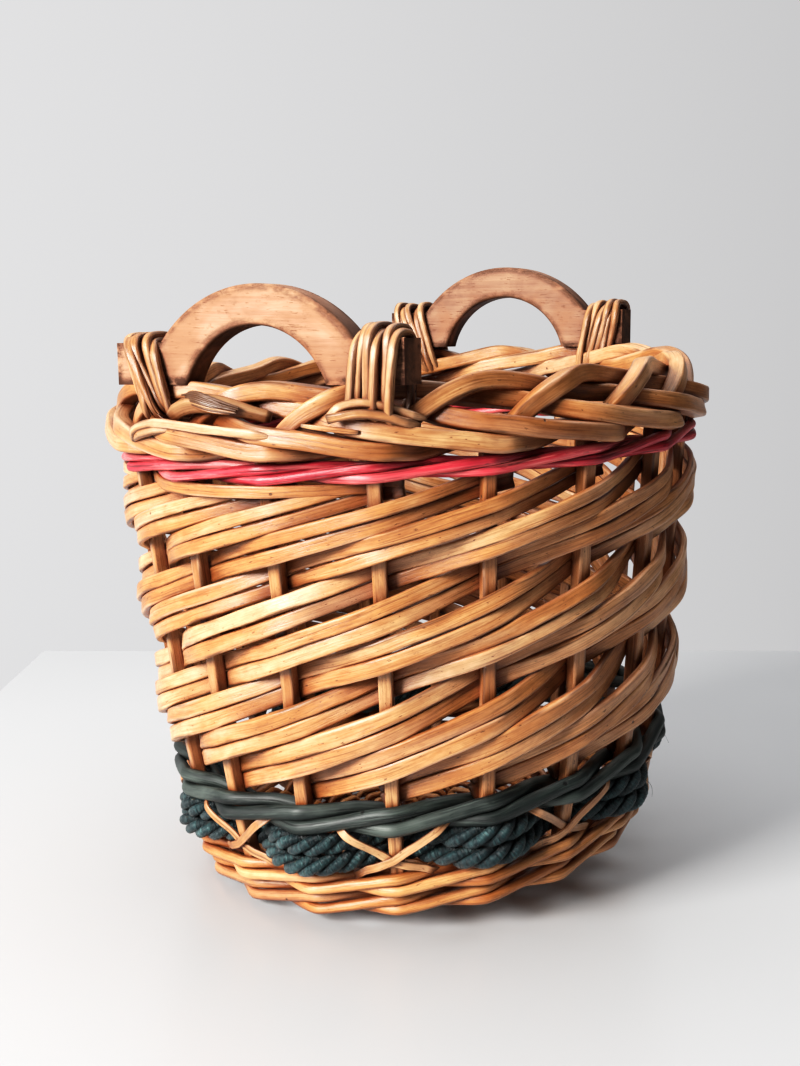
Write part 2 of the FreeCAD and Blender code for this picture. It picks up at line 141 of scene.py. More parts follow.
def glide(knots, x):
    """Smooth steps between (x, value) knots, level at every knot."""
    at, value = np.array(knots, float).T
    x = np.clip(x, at[0], at[-1])
    index = np.clip(np.searchsorted(at, x, side="right") - 1, 0, len(at) - 2)
    share = (x - at[index]) / (at[index + 1] - at[index])
    ease = 0.5 - 0.5 * np.cos(np.pi * share)
    return value[index] + (value[index + 1] - value[index]) * ease


def bent(knots, x, period, soft=0.14):
    """Straight runs between (x, value) knots, repeating, with their corners softened."""
    at, value = np.array(knots, float).T
    nearby = np.linspace(-soft, soft, 9)
    return np.mean([np.interp((x + step) % period, at, value) for step in nearby], axis=0)


def on_ring(radius, angle, height):
    """Points of the straight basket."""
    turn = np.radians(angle)
    radius, turn, height = np.broadcast_arrays(radius, turn, height)
    return np.stack([radius * np.sin(turn), -radius * np.cos(turn), height], -1)


def stand(points):
    """Move points of the straight basket to where they are on the leaning one."""
    east, north = LEAN_WAY
    radius = np.hypot(points[..., 0], points[..., 1])
    bowl = np.clip((radius - BASE_FLAT) / (FOOT_RADIUS - 2 - BASE_FLAT), 0, 1) ** 2
    slope = RIM_SLOPE + EXTRA_SLOPE * slope_share(points[..., 2])
    lift = FOOT_LIFT + (points[..., 0] * east + points[..., 1] * north) * slope
    shift = -LEAN_SHIFT * np.maximum(points[..., 2], 0)
    return points + np.stack([east * shift, north * shift, bowl * lift], -1)


def through(points, station):
    """Catmull-Rom curve through points, one unit of station per point."""
    points = np.array(points, float)
    last = len(points) - 1
    index = np.clip(np.floor(station).astype(int), 0, last - 1)
    t = (station - index)[:, None]
    before = points[np.maximum(index - 1, 0)]
    start = points[index]
    end = points[index + 1]
    after = points[np.minimum(index + 2, last)]
    return 0.5 * (
        2 * start + (end - before) * t + (2 * before - 5 * start + 4 * end - after) * t**2
        + (3 * start - before - 3 * end + after) * t**3
    )


# --- rods -----------------------------------------------------------------------------

CAP_SHARE = 0.8  # a rod's cut end is this much of its section
END_REACH = 2.5  # how far the dark of a cut end soaks in
EDGE_MARKS = (0, 0.4, 1, 0.4, 0) * 4  # how near each point of a squared section is to an edge


def unit(vectors):
    """Vectors of length one, the same way."""
    return vectors / np.linalg.norm(vectors, axis=-1, keepdims=True)


def outward(route):
    """Level directions away from the basket's axis."""
    return unit(route * (1, 1, 0))


def measure(points):
    """Distance of each point along the line through them."""
    steps = np.linalg.norm(np.diff(points, axis=0), axis=1)
    return np.concatenate([[0], np.cumsum(steps)])


def wander(along, size, pace):
    """Slow random drift with distance: about size large, changing over about pace."""
    total = np.zeros_like(along)
    for octave in (1, 2, 4):
        phase = RNG.uniform(0, 2 * np.pi)
        strength = RNG.normal()
        total += strength / octave * np.sin(2 * np.pi * along * octave / pace + phase)
    return total * size * 0.7


def squared(width, depth, bevel):
    """A rectangle with rounded edges; its flats end in a close pair of points."""
    w, d = width / 2, depth / 2
    quarter = [
        (w, d - 1.7 * bevel),
        (w, d - bevel),
        (w - 0.3 * bevel, d - 0.3 * bevel),
        (w - bevel, d),
        (w - 1.7 * bevel, d),
    ]
    points = []
    for sx, sy in ((1, 1), (-1, 1), (-1, -1), (1, -1)):
        for x, y in quarter if sx * sy > 0 else quarter[::-1]:
            points.append((x * sx, y * sy))
    return np.array(points)


def rounded(width, depth, sides):
    """An oval."""
    turns = 2 * np.pi * np.arange(sides) / sides
    return np.stack([width / 2 * np.cos(turns), depth / 2 * np.sin(turns)], -1)


class RodSet:
    """Collects rods into the one mesh of a piece."""

    def __init__(self):
        self.points, self.quads, self.caps, self.uvs = [], [], [], []
        self.ends, self.edges = [], []  # marks of cut ends and worn edges, for the materials
        self.count = 0

    def add(self, centre, out_hint, section, end_cut=0.35, roll=None, charred=0.0):
        """A rod along centre points. section is (stations, corners, 2) of across and out.

        roll turns the section, in degrees at each station. charred darkens the whole rod.
        """
        ahead = unit(np.gradient(centre, axis=0))
        out = unit(out_hint - ahead * (out_hint * ahead).sum(-1, keepdims=True))
        across = np.cross(ahead, out)
        if roll is not None:
            turn = np.radians(roll)[:, None]
            out, across = (
                out * np.cos(turn) + across * np.sin(turn),
                across * np.cos(turn) - out * np.sin(turn),
            )
        middle = centre[:, None]
        body = middle + across[:, None] * section[..., :1] + out[:, None] * section[..., 1:]
        first_cap = middle[:1] + (body[:1] - middle[:1]) * CAP_SHARE - ahead[:1, None] * end_cut
        last_cap = middle[-1:] + (body[-1:] - middle[-1:]) * CAP_SHARE + ahead[-1:, None] * end_cut
        body = np.concatenate([first_cap, body, last_cap])
        along = measure(centre)
        along = np.concatenate([[-end_cut], along, [along[-1] + end_cut]])
        rows, corners = body.shape[:2]
        edge = np.linalg.norm(np.roll(section, -1, axis=1) - section, axis=-1).mean(0)
        girth = np.concatenate([[0], np.cumsum(edge)])
        grid = np.arange(rows * corners).reshape(rows, corners) + self.count
        beside = np.roll(grid, -1, axis=1)
        quads = np.stack([grid[:-1], grid[1:], beside[1:], beside[:-1]], -1).reshape(-1, 4)
        offset = RNG.uniform(0, 40, 2)
        u = along * MM + offset[0]
        v = girth * MM + offset[1]
        faces = (rows - 1, corners)
        low_u = np.broadcast_to(u[:-1, None], faces)
        high_u = np.broadcast_to(u[1:, None], faces)
        low_v = np.broadcast_to(v[:-1], faces)
        high_v = np.broadcast_to(v[1:], faces)
        uv = np.stack([low_u, low_v, high_u, low_v, high_u, high_v, low_u, high_v], -1)
        self.points.append(body.reshape(-1, 3))
        self.quads.append(quads)
        self.uvs.append(uv.reshape(-1, 2))
        self.caps += [grid[0], grid[-1][::-1]]
        reach = np.minimum(along + end_cut, along[-1] - along)
        self.ends.append(np.repeat(np.maximum(np.exp(-reach / END_REACH), charred), corners))
        is_squared = corners == len(EDGE_MARKS)
        self.edges.append(np.tile(EDGE_MARKS if is_squared else np.zeros(corners), rows))
        self.count += rows * corners

    def build(self, name, material, nodes):
        """Make the object, and let it stand for its CAD nodes."""
        quads = np.concatenate(self.quads)
        loops = [quads.reshape(-1)] + self.caps
        lengths = np.concatenate([np.full(len(quads), 4), [len(cap) for cap in self.caps]])
        starts = np.concatenate([[0], np.cumsum(lengths)[:-1]])
        corners = np.concatenate(loops)
        points = np.concatenate(self.points) * MM
        mesh = bpy.data.meshes.new(name)
        mesh.vertices.add(len(points))
        mesh.vertices.foreach_set("co", points.reshape(-1))
        mesh.loops.add(len(corners))
        mesh.loops.foreach_set("vertex_index", corners.astype(np.int32))
        mesh.polygons.add(len(lengths))
        mesh.polygons.foreach_set("loop_start", starts.astype(np.int32))
        mesh.polygons.foreach_set("loop_total", lengths.astype(np.int32))
        mesh.polygons.foreach_set("use_smooth", np.ones(len(lengths), bool))
        mesh.update(calc_edges=True)
        cap_uv = np.zeros((sum(len(cap) for cap in self.caps), 2))
        uv = np.concatenate([np.concatenate(self.uvs), cap_uv])
        layer = mesh.uv_layers.new(name="rod")
        layer.data.foreach_set("uv", uv.reshape(-1).astype(np.float32))
        for mark, values in (("end", self.ends), ("edge", self.edges)):
            layer = mesh.attributes.new(mark, "FLOAT", "POINT")
            layer.data.foreach_set("value", np.concatenate(values).astype(np.float32))
        mesh.validate()
        mesh.materials.append(material)
        piece = bpy.data.objects.new(name, mesh)
        bpy.context.scene.collection.objects.link(piece)
        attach(piece, "root")
        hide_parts(*nodes)


def natural(shape, along, swell, pace=90):
    """The section repeated along the rod, a little thicker here and thinner there."""
    wide = 1 + wander(along, swell, pace)
    deep = 1 + wander(along, swell, pace * 0.8)
    return shape[None] * np.stack([wide, deep], -1)[:, None]


# --- materials ------------------------------------------------------------------------


class Shader:
    """Short names for building a material's nodes."""

    def __init__(self, name):
        self.material = bpy.data.materials.new(name)
        self.material.use_nodes = True
        self.tree = self.material.node_tree
        self.tree.nodes.clear()
        self.body = self.node("BsdfPrincipled")
        self.link(self.body.outputs[0], self.node("OutputMaterial").inputs[0])

    def node(self, kind, **values):
        made = self.tree.nodes.new("ShaderNode" + kind)
        for key, value in values.items():
            setattr(made, key, value)
        return made

    def link(self, source, target):
        self.tree.links.new(source, target)

    def put(self, target, value):
        """Link value to the target if it is a node's output, or else set it."""
        if hasattr(value, "is_output"):
            self.link(value, target)
        else:
            target.default_value = value

    def rod_place(self, along, around):
        """Position on the rod, scaled: metres along it and around it."""
        uv = self.node("UVMap", uv_map="rod")
        mapping = self.node("Mapping")
        self.link(uv.outputs[0], mapping.inputs[0])
        mapping.inputs["Scale"].default_value = (along, around, 1)
        return mapping.outputs[0]

    def noise(self, place, detail, rough=0.5, twist=0.0):
        made = self.node("TexNoise")
        self.link(place, made.inputs["Vector"])
        made.inputs["Scale"].default_value = 1.0
        made.inputs["Detail"].default_value = detail
        made.inputs["Roughness"].default_value = rough
        made.inputs["Distortion"].default_value = twist
        return made.outputs["Fac"]

    def rod_noise(self, along, around, detail, rough=0.5, twist=0.0):
        """Noise with about this many patches to the metre, along and around the rod."""
        return self.noise(self.rod_place(along, around), detail, rough, twist)

    def ramp(self, factor, stops):
        made = self.node("ValToRGB")
        self.link(factor, made.inputs[0])
        while len(made.color_ramp.elements) < len(stops):
            made.color_ramp.elements.new(0.5)
        for element, (place, colour) in zip(made.color_ramp.elements, stops):
            element.position = place
            element.color = (*colour, 1)
        return made.outputs[0]

    def grey(self, factor, low, high, dark=0.0, light=1.0):
        """dark where the factor is under low, light where it is over high."""
        return self.ramp(factor, [(low, (dark,) * 3), (high, (light,) * 3)])

    def mix(self, factor, first, second, blend="MIX"):
        made = self.node("Mix", data_type="RGBA", blend_type=blend)
        self.put(made.inputs[0], factor)
        self.put(made.inputs[6], first)
        self.put(made.inputs[7], second)
        return made.outputs[2]

    def math(self, operation, first, second=0.0):
        made = self.node("Math", operation=operation)
        self.put(made.inputs[0], first)
        self.put(made.inputs[1], second)
        return made.outputs[0]

    def times(self, first, second):
        return self.math("MULTIPLY", first, second)

    def plus(self, first, second):
        return self.math("ADD", first, second)

    def tint(self, colour, mask, strength, tone):
        """colour, turned to tone where the mask is, by this strength."""
        return self.mix(self.times(mask, strength), colour, (*tone, 1))

    def dots(self, along, around, size, share):
        """Scattered round spots, on this share of the cells."""
        cells = self.node("TexVoronoi", feature="F1")
        self.link(self.rod_place(along, around), cells.inputs["Vector"])
        cells.inputs["Scale"].default_value = 1.0
        spots = self.grey(cells.outputs["Distance"], size * 0.6, size, 1.0, 0.0)
        split = self.node("SeparateColor")
        self.link(cells.outputs["Color"], split.inputs[0])
        chosen = self.math("LESS_THAN", split.outputs[0], share)
        return self.times(spots, chosen)

    def painted_crevice_shade(self, colour, reach, tint, strength):
        """Painted shade where parts meet, with some gathered dirt and dark wax: ambient occlusion
        darkens and tints the colour in gaps and creases.
        """
        near = self.node("AmbientOcclusion", samples=4)
        near.inputs["Distance"].default_value = reach
        depth = self.grey(near.outputs["AO"], 0.25, 0.95, strength, 0.0)
        return self.mix(depth, colour, self.mix(1.0, colour, (*tint, 1), "MULTIPLY"))

    def bump(self, height, depth):
        made = self.node("Bump")
        made.inputs["Distance"].default_value = depth
        made.inputs["Strength"].default_value = 1.0
        self.link(height, made.inputs["Height"])
        return made.outputs[0]

    def finish(self, colour, roughness, normal=None, **settings):
        """The material. settings are the shader's other inputs, with _ for each space."""
        self.put(self.body.inputs["Base Color"], colour)
        self.put(self.body.inputs["Roughness"], roughness)
        if normal is not None:
            self.link(normal, self.body.inputs["Normal"])
        for key, value in settings.items():
            self.body.inputs[key.replace("_", " ")].default_value = value
        return self.material


def willow(name, dark, middle, light, waxed_from=0.52):
    """Waxed willow: long grain, tone drifting from rod to rod, flecks and bud scars."""
    s = Shader(name)
    pale = (0.66, 0.43, 0.29)
    speck = 0.8
    rod_tone = s.rod_noise(1.3, 0.0, 1.0)
    patches = s.rod_noise(14, 90, 4.0, 0.6, 0.5)
    grain = s.rod_noise(30, 1300, 4.0, 0.65, 0.3)
    fine = s.rod_noise(120, 3600, 2.0)
    tone = s.plus(s.times(rod_tone, 0.8), s.times(patches, 0.65))
    tone = s.plus(tone, s.times(grain, 0.26))
    colour = s.ramp(tone, [(0.58, dark), (0.81, middle), (1.03, light)])
    bare = s.grey(s.rod_noise(7, 40, 2.0, 0.5, 0.3), 0.56, 0.76, 0, 0.75)
    colour = s.mix(bare, colour, (*pale, 1))
    mottle = s.grey(s.rod_noise(85, 170, 4.0, 0.7), 0.40, 0.62, 0, 0.45)
    colour = s.mix(mottle, colour, s.mix(1.0, colour, (0.62, 0.46, 0.36, 1), "MULTIPLY"))
    streaks = s.grey(grain, 0.34, 0.52, 0.45, 1.0)
    colour = s.mix(0.5, colour, streaks, "MULTIPLY")
    lines = s.grey(s.rod_noise(9, 520, 3.0, 0.6), 0.60, 0.70)
    colour = s.tint(colour, lines, 0.7, (0.12, 0.036, 0.009))
    stain = s.grey(s.rod_noise(38, 260, 3.0, 0.65), 0.60, 0.74)
    colour = s.tint(colour, stain, speck * 0.6, (0.17, 0.060, 0.016))
    flecks = s.grey(s.rod_noise(230, 700, 2.0, 0.6), 0.665, 0.71)
    colour = s.tint(colour, flecks, speck, (0.10, 0.035, 0.010))
    scars = s.dots(75, 75, 0.075, 0.3)
    colour = s.tint(colour, scars, speck, (0.045, 0.016, 0.006))
    edge = s.node("Attribute", attribute_name="edge").outputs["Fac"]
    rubbed = s.grey(s.rod_noise(13, 30, 2.0), 0.50, 0.62, 0, 0.6)
    colour = s.tint(colour, edge, rubbed, [c * 1.15 for c in pale])
    waxed = s.grey(s.rod_noise(19, 60, 3.0, 0.6), waxed_from, waxed_from + 0.08, 0, 0.85)
    colour = s.tint(colour, edge, waxed, (0.085, 0.028, 0.008))
    end = s.node("Attribute", attribute_name="end").outputs["Fac"]
    colour = s.mix(s.grey(end, 0.15, 0.9, 0, 0.88), colour, (0.055, 0.021, 0.008, 1))
    # Painted shade: gaps where rods meet are darkened and browned, together with gathered dirt and
    # wax.
    colour = s.painted_crevice_shade(colour, 0.018, (0.34, 0.14, 0.065), 0.95)
    height = s.math("SUBTRACT", s.plus(grain, s.times(fine, 0.35)), s.times(scars, 1.5))
    return s.finish(
        colour,
        s.plus(s.times(grain, 0.30), 0.21),
        s.bump(height, 0.00024),
        Specular_IOR_Level=0.5,
        Coat_Weight=0.08,
        Coat_Roughness=0.22,
    )


def dyed(name, deep, plain, worn, smoothest):
    """Dyed willow: uneven dye, worn to a paler tone in streaks. smoothest is a roughness."""
    s = Shader(name)
    rod_tone = s.rod_noise(11, 30, 4.0, 0.6, 0.6)
    grain = s.rod_noise(30, 1300, 4.0, 0.6, 0.2)
    tone = s.plus(s.times(rod_tone, 0.75), s.times(grain, 0.25))
    colour = s.ramp(tone, [(0.38, deep), (0.50, plain), (0.64, worn)])
    scuffs = s.grey(s.rod_noise(24, 420, 4.0, 0.7, 0.5), 0.54, 0.66)
    colour = s.tint(colour, scuffs, 0.6, [c * 1.3 for c in worn])
    cracks = s.grey(s.rod_noise(16, 520, 3.0, 0.6), 0.57, 0.66)
    colour = s.tint(colour, cracks, 0.8, [c * 0.3 for c in deep])
    flecks = s.grey(s.rod_noise(150, 500, 2.0), 0.65, 0.72)
    colour = s.tint(colour, flecks, 0.6, [c * 0.25 for c in deep])
    knots = s.dots(60, 60, 0.09, 0.25)
    colour = s.mix(knots, colour, (*[c * 0.15 for c in deep], 1))
    # Painted shade: gaps where the dyed rods meet are darkened.
    colour = s.painted_crevice_shade(colour, 0.010, (0.30, 0.28, 0.28), 0.8)
    roughness = s.plus(s.times(grain, 0.3), smoothest)
    normal = s.bump(s.math("SUBTRACT", grain, s.plus(knots, cracks)), 0.00022)
    return s.finish(colour, roughness, normal, Coat_Weight=0.1, Coat_Roughness=0.3)


def grass_rope():
    """Dyed twisted grass: each strand is wrapped round with fine fibres."""
    s = Shader("teal_grass")
    wraps = s.rod_noise(900, 110, 4.0, 0.7, 0.6)
    patches = s.rod_noise(80, 120, 3.0, 0.6)
    tone = s.plus(s.times(wraps, 0.6), s.times(patches, 0.45))
    # Partly fibre tone, partly painted light: the wraps noise also drives the bump, so the light
    # teal stop paints a highlight on the wraps' crests and the near-black stop paints shade in
    # their grooves.
    stops = [
        (0.38, (0.003, 0.007, 0.009)),
        (0.50, (0.009, 0.024, 0.029)),
        (0.60, (0.026, 0.068, 0.073)),
        (0.70, (0.15, 0.26, 0.26)),
    ]
    colour = s.ramp(tone, stops)
    bare = s.grey(s.rod_noise(260, 240, 2.0), 0.68, 0.74)
    colour = s.tint(colour, bare, 0.5, (0.16, 0.13, 0.07))
    # Painted shade: the grooves between the rope's strands are darkened.
    colour = s.painted_crevice_shade(colour, 0.005, (0.12, 0.16, 0.16), 0.85)
    roughness = s.plus(s.times(wraps, 0.3), 0.28)
    normal = s.bump(wraps, 0.0020)
    return s.finish(colour, roughness, normal, Sheen_Weight=0.1, Sheen_Roughness=0.4)


def sawn_wood(name, shade):
    """A handle's plank: long grain, dark end grain, painted shade on faces turned down and in
    creases, worn dark edges. shade scales its browns.
    """
    s = Shader(name)
    place = s.node("TexCoord").outputs["Object"]

    def wood_noise(scales, detail, rough=0.5, twist=0.0):
        """Noise with about this many patches to the metre, along each axis."""
        mapping = s.node("Mapping")
        s.link(place, mapping.inputs[0])
        mapping.inputs["Scale"].default_value = scales
        return s.noise(mapping.outputs[0], detail, rough, twist)

    rings = wood_noise((5, 60, 90), 4.0, 0.6, 1.2)
    grain = wood_noise((40, 700, 900), 4.0, 0.65)
    patches = wood_noise((28, 40, 40), 3.0, 0.6, 0.6)
    tone = s.plus(s.times(rings, 0.5), s.times(patches, 0.5))
    tone = s.plus(tone, s.times(s.math("SUBTRACT", grain, 0.5), 0.25))
    browns = [
        (0.34, (0.19, 0.078, 0.041)),
        (0.50, (0.39, 0.202, 0.126)),
        (0.66, (0.56, 0.322, 0.206)),
    ]
    colour = s.ramp(tone, [(at, tuple(c * shade for c in brown)) for at, brown in browns])
    # Dark end grain on faces turned along the plank, and painted shade on faces turned down, such
    # as the arch's underside; both take the dark stain colour.
    facing = s.node("SeparateXYZ")
    s.link(s.node("NewGeometry").outputs["Normal"], facing.inputs[0])
    across = s.math("ABSOLUTE", facing.outputs["X"])
    facing_down_shade = s.times(facing.outputs["Z"], -1.0)
    end_grain_and_underside_shade = s.grey(s.math("MAXIMUM", across, facing_down_shade), 0.35, 0.8)
    speckle = wood_noise((500, 500, 500), 3.0, 0.7)
    stain = s.ramp(speckle, [(0.35, (0.022, 0.008, 0.004)), (0.65, (0.10, 0.037, 0.017))])
    colour = s.mix(s.times(end_grain_and_underside_shade, 0.9), colour, stain)
    pores = s.grey(wood_noise((160, 1500, 1500), 2.0), 0.66, 0.72)
    colour = s.tint(colour, pores, 0.55, (0.11, 0.045, 0.022))
    worn = s.grey(wood_noise((120, 160, 160), 4.0, 0.7), 0.60, 0.72)
    colour = s.tint(colour, worn, 0.55, (0.13, 0.05, 0.024))
    cloud = s.grey(wood_noise((22, 30, 30), 3.0, 0.6, 0.8), 0.44, 0.60, 0, 0.7)
    colour = s.mix(cloud, colour, (0.30, 0.135, 0.070, 1))
    rim = s.node("AmbientOcclusion", samples=4, inside=True)
    rim.inputs["Distance"].default_value = 0.0045
    edges = s.grey(rim.outputs["AO"], 0.72, 0.96, 1.0, 0.0)
    broken = s.grey(wood_noise((70, 110, 110), 4.0, 0.7), 0.38, 0.54)
    colour = s.tint(colour, edges, broken, (0.055, 0.020, 0.010))
    # Painted shade: creases on the plank and the places under its lashings are darkened.
    colour = s.painted_crevice_shade(colour, 0.012, (0.35, 0.20, 0.14), 0.8)
    roughness = s.plus(s.plus(s.times(grain, 0.3), 0.42), s.times(edges, 0.3))
    height = s.math("SUBTRACT", grain, s.times(pores, 0.8))
    return s.finish(colour, roughness, s.bump(height, 0.00018), Specular_IOR_Level=0.25)


WILLOW = willow(
    "waxed_willow",
    dark=(0.26, 0.079, 0.020),
    middle=(0.55, 0.243, 0.086),
    light=(0.76, 0.45, 0.235),
)
STAKE_WILLOW = willow(
    "stake_willow",
    dark=(0.23, 0.071, 0.018),
    middle=(0.49, 0.215, 0.075),
    light=(0.70, 0.405, 0.205),
)
BASE_WILLOW = willow(
    "base_willow",
    dark=(0.24, 0.063, 0.014),
    middle=(0.54, 0.220, 0.068),
    light=(0.76, 0.42, 0.185),
)
CANE = willow(
    "split_cane",
    dark=(0.23, 0.080, 0.028),
    middle=(0.47, 0.225, 0.095),
    light=(0.68, 0.41, 0.22),
    waxed_from=0.42,
)
GREEN = dyed(
    "green_dye",
    deep=(0.004, 0.006, 0.006),
    plain=(0.012, 0.019, 0.017),
    worn=(0.070, 0.088, 0.077),
    smoothest=0.38,
)
RED = dyed(
    "red_dye",
    deep=(0.27, 0.009, 0.022),
    plain=(0.60, 0.036, 0.058),
    worn=(0.80, 0.21, 0.20),
    smoothest=0.24,
)
ROPE = grass_rope()
PLANKS = {"front": sawn_wood("front_plank", 1.0), "back": sawn_wood("back_plank", 0.73)}


# --- base -----------------------------------------------------------------------------

SPOKE_SIDE = 4.6  # degrees from a stake to the spoke beside it
SLATH = 30  # radius at which the crossed sticks fan out
UP = np.array([0.0, 0.0, 1.0])
ROUNDS = 16
FIRST_ROUND = 42.0  # radius
ROUND_STEP = 4.1


def base_sticks():
    """Five sticks crossed under four, whose ends fan out to the spokes."""
    rods = RodSet()
    reach = FOOT_RADIUS - 4
    for members, middle, cross_level in ((5, 0, SPOKE / 2), (4, 90, 1.5 * SPOKE + 0.2)):
        heading = FIRST_ANGLE - SPOKE_SIDE + middle
        for member in range(members):
            place = member - (members - 1) / 2
            station = np.linspace(-reach, reach, 120)
            side = np.where(station >= 0, 1, -1)
            along = np.abs(station)
            near = on_ring(station, heading, 0)
            near = near + on_ring(place * (SPOKE + 0.4), heading + 90, 0)
            angle = heading + side * place * STEP + np.where(side > 0, 0, 180)
            far = on_ring(along, angle, 0)
            share = glide([(SLATH - 14, 0), (SLATH + 16, 1)], along)[:, None]
            route = near * (1 - share) + far * share
            route[:, 2] = glide([(SLATH - 12, cross_level), (SLATH + 12, BASE_LEVEL)], along)
            centre = stand(route)
            section = natural(squared(SPOKE, SPOKE, 1.4), measure(centre), 0.02)
            rods.add(centre, np.tile(UP, (len(centre), 1)), section)
    rods.build("base_stick_cross", BASE_WILLOW, ["base_sticks"])


def base_weave():
    """Rounds of fine willow, each over the spokes that the last one went under."""
    rods = RodSet()
    swing = (SPOKE + BASE_ROD) / 2 + GAP / 2
    first = FIRST_ANGLE - SPOKE_SIDE / 2
    for turn in range(ROUNDS):
        radius = FIRST_ROUND + turn * ROUND_STEP
        start = 0.05 + 2 * (turn % 3)
        station = np.linspace(start, start + STAKES - 0.1, 26 * STAKES)
        sign = 1 if turn % 2 else -1
        wave = glide([(0, 1), (0.2, 1), (0.8, -1), (1.2, -1), (1.8, 1), (2, 1)], station % 2)
        reach = radius + wander(station, 0.25, 5)
        route = on_ring(reach, first + station * STEP, BASE_LEVEL + sign * swing * wave)
        centre = stand(route)
        section = natural(rounded(BASE_ROD, BASE_ROD, 9), measure(centre), 0.04)
        rods.add(centre, outward(route), section)
    rods.build("base_rounds", BASE_WILLOW, ["base_weave"])


# --- stakes ---------------------------------------------------------------------------

# (stakes passed, height over the border's level, distance outside the wall)
BORDER_ROUTE = [
    (0.0, 0, 0),
    (0.15, 9, 1.5),
    (0.4, 20.5, 3),
    (0.7, 29, 1),
    (1.0, 32.5, -5),
    (1.4, 29.5, -9.5),
    (2.0, 24.5, -9.5),
    (2.35, 22, -7),
    (2.65, 18, 1.5),
    (3.0, 13.8, 9),
    (3.5, 9.2, 10),
    (4.0, 4.8, 9.5),
    (4.2, 4, 7),
    (4.45, 3.2, -3),
    (4.8, 6, -9),
    (5.25, 8, -10.5),
]
TAIL_RADII = (84, 91, 98, 105)  # the stake's tail, beside a spoke
UPRIGHT_LEVELS = (16, 24, 34, 46, 57, 70, 100, 130, 160, 190, 215, RED_LEVEL)


def stake(index):
    """One rod: its tail in the base, its upright in the wall and its arc in the border."""
    angle = FIRST_ANGLE + index * STEP
    points = [(radius, 0, BASE_LEVEL) for radius in TAIL_RADII]
    points += [(FOOT_RADIUS - 4.5, 0, BASE_LEVEL + 1.2), (FOOT_RADIUS + 0.5, 0, BASE_LEVEL + 5)]
    upright = len(points)
    points += [(wall_radius(height), 0, height) for height in UPRIGHT_LEVELS]
    for passed, up, out in BORDER_ROUTE:
        drift = RNG.normal(0, 0.35, 2) if passed > 0.3 else (0, 0)
        height = BORDER_LEVEL + up + drift[0]
        points.append((wall_radius(height) + out + drift[1], passed * STEP, height))
    last = len(points) - 1
    station = np.linspace(0, last, 14 * last)
    radius, turn, height = through(points, station).T
    route = on_ring(radius, angle + turn, height)
    centre = stand(route)
    along = measure(centre)
    ahead = unit(np.gradient(centre, axis=0))
    out = outward(route)
    at_foot = (station < upright + 2)[:, None]
    hint = np.where(at_foot, np.cross(np.cross(UP, out), ahead), out)
    bend = last - len(BORDER_ROUTE)
    widened = glide([(bend, 0), (bend + 4, 1)], station)
    side = STAKE + (BORDER_STAKE - STAKE) * widened
    thinned = np.minimum(1, 0.45 + station / 4) * np.minimum(1, 0.8 + (last - station) / 3)
    side = side * thinned
    section = natural(squared(1, 1, 0.15), along, 0.045) * side[:, None, None]
    rods = RodSet()
    roll = (wander(along, 11, 150) - 6) * widened
    rods.add(centre, hint, section, roll=roll)
    name = f"stake_{index + 1:02d}"
    rods.build("willow_" + name, STAKE_WILLOW, [name])


def laid(knots):
    """A path through (angle, level, distance outside the wall) knots."""
    knots = np.array(knots, float)
    station = np.linspace(0, len(knots) - 1, 16 * (len(knots) - 1))
    angle, level, out = through(knots, station).T
    return on_ring(wall_radius(level) + out, angle, level)


def tucked_canes():
    """Ends of the front lashings, tucked into the border."""
    routes = [
        [(17, 258.5, 14), (18.6, 263, 14.5), (21, 264.8, 14), (24, 264.4, 13.5), (27, 261.5, 13),
         (29.5, 258.5, 12), (32, 256, 9)],
        [(17, 258.5, 15), (19.5, 259.8, 17), (22.5, 260.2, 17), (25.5, 258.8, 16.5),
         (28.5, 256, 15), (31, 253.5, 11)],
        [(-25, 248, 15), (-23.5, 252, 16.5), (-20.5, 255.2, 16), (-16.5, 256.5, 15),
         (-12, 256, 15), (-5, 254.4, 15.5), (1, 252.8, 15), (7, 250.5, 13)],
        [(-25, 248, 14), (-22, 250.4, 16), (-18, 252.6, 15), (-14.5, 254, 12), (-12, 256, 8)],
    ]
    rods = RodSet()
    for knots in routes:
        route = laid(knots)
        centre = stand(route)
        along = measure(centre)
        slim = np.minimum(1, 0.5 + (along[-1] - along) / 14)
        section = natural(squared(4.4, 3.5, 1.0), along, 0.08, 30) * slim[:, None, None]
        rods.add(centre, outward(route), section, roll=wander(along, 20, 60))
    rods.build("cane_ends", CANE, ["lashing_front_right"])


def split_end(rods, strips=9):
    """A rod that was cut short beside the front handle, with a split and darkened end."""
    route = laid([(-14.5, 260.5, 9), (-11.5, 264, 9.5), (-8, 265.8, 9), (-4, 265, 7.5),
                  (0, 262.4, 5), (4, 259, 1)])
    centre = stand(route)
    along = measure(centre)
    slim = np.interp(along, [0, 5, 30, 50], [0.75, 1, 0.95, 0.7])
    section = natural(squared(8.4, 7.4, 1.6), along, 0.06) * slim[:, None, None]
    roll = np.full(len(centre), 24.0)
    rods.add(centre, outward(route), section, end_cut=2.5, roll=roll, charred=0.5)
    for strip in range(strips):
        place = strip / (strips - 1) - 0.5
        route = laid([
            (-10.5 + RNG.normal(0, 0.5), 268.5 + 4 * place, 11 - 3 * abs(place)),
            (-7.5, 268.0 + 7 * place, 13.2 - 2 * abs(place)),
            (-4, 265.5 + 6.5 * place, 12.6),
            (-0.5 + RNG.normal(0, 0.8), 262.5 + 3 * place, 10.5),
        ])
        slim = 0.35 + np.sin(np.linspace(0.25, 2.9, len(route)))
        section = rounded(1.3, 1.8, 7)[None] * slim[:, None, None]
        rods.add(stand(route), outward(route), section, charred=RNG.choice([0.5, 1, 1]))


